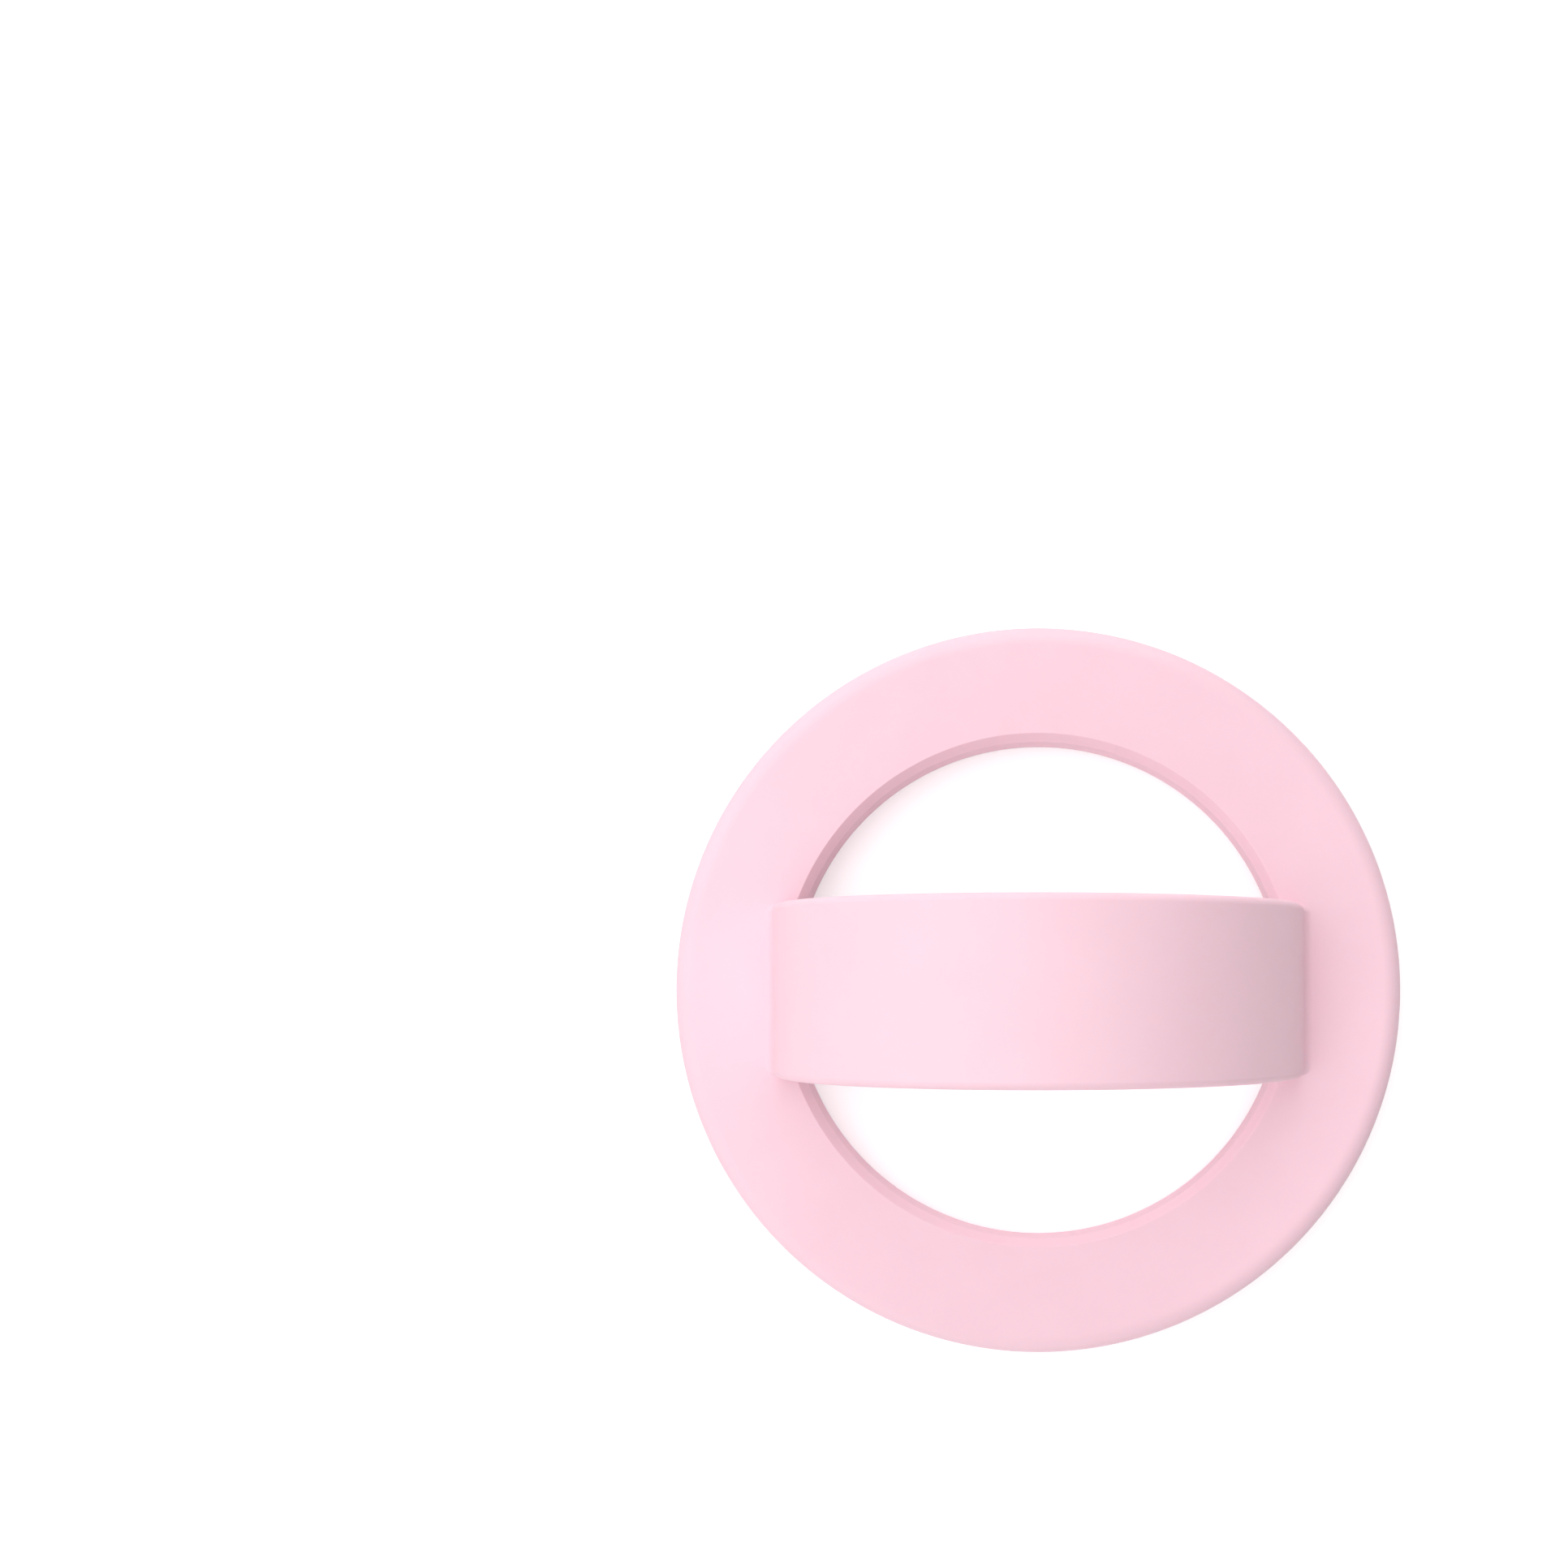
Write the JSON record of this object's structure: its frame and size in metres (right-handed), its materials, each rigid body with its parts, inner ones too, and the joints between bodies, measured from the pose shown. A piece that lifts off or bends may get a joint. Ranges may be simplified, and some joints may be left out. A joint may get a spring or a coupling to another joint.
{
  "type": "phone finger strap",
  "caption": "Magnetic finger strap for a phone's back: a flat silicone ring with a soft finger loop arched across its hole, magnets and a steel ring inside, and a soft cover.",
  "frame": {"origin": "centre of the flat back that lies on the phone, on the ring's axis", "axes": "+Z out of the phone along the ring's axis, through the top of the loop; the loop spans along X, and the fingers pass under it along Y"},
  "size_m": [0.06, 0.06, 0.024],
  "materials": {
    "silicone": "pale pink liquid silicone, soft matte with a silky sheen",
    "cover": "thin soft cover in the same pink, a little deeper, fine matte grain",
    "steel": "zinc-plated sheet steel, brushed",
    "magnet": "nickel-plated neodymium, satin"
  },
  "bodies": {
    "root": {"silicone_body": "silicone", "back_cover": "cover", "steel_ring": "steel", "magnet_01": "magnet", "magnet_02": "magnet", "magnet_03": "magnet", "magnet_04": "magnet", "magnet_05": "magnet", "magnet_06": "magnet", "magnet_07": "magnet", "magnet_08": "magnet", "magnet_09": "magnet", "magnet_10": "magnet", "magnet_11": "magnet", "magnet_12": "magnet", "magnet_13": "magnet", "magnet_14": "magnet", "magnet_15": "magnet", "magnet_16": "magnet", "magnet_17": "magnet", "magnet_18": "magnet", "magnet_19": "magnet", "magnet_20": "magnet", "magnet_21": "magnet", "magnet_22": "magnet", "magnet_23": "magnet", "magnet_24": "magnet", "magnet_25": "magnet", "magnet_26": "magnet", "magnet_27": "magnet", "magnet_28": "magnet", "magnet_29": "magnet", "magnet_30": "magnet", "magnet_31": "magnet", "magnet_32": "magnet", "magnet_33": "magnet", "magnet_34": "magnet", "magnet_35": "magnet", "magnet_36": "magnet"}
  },
  "joints": []
}
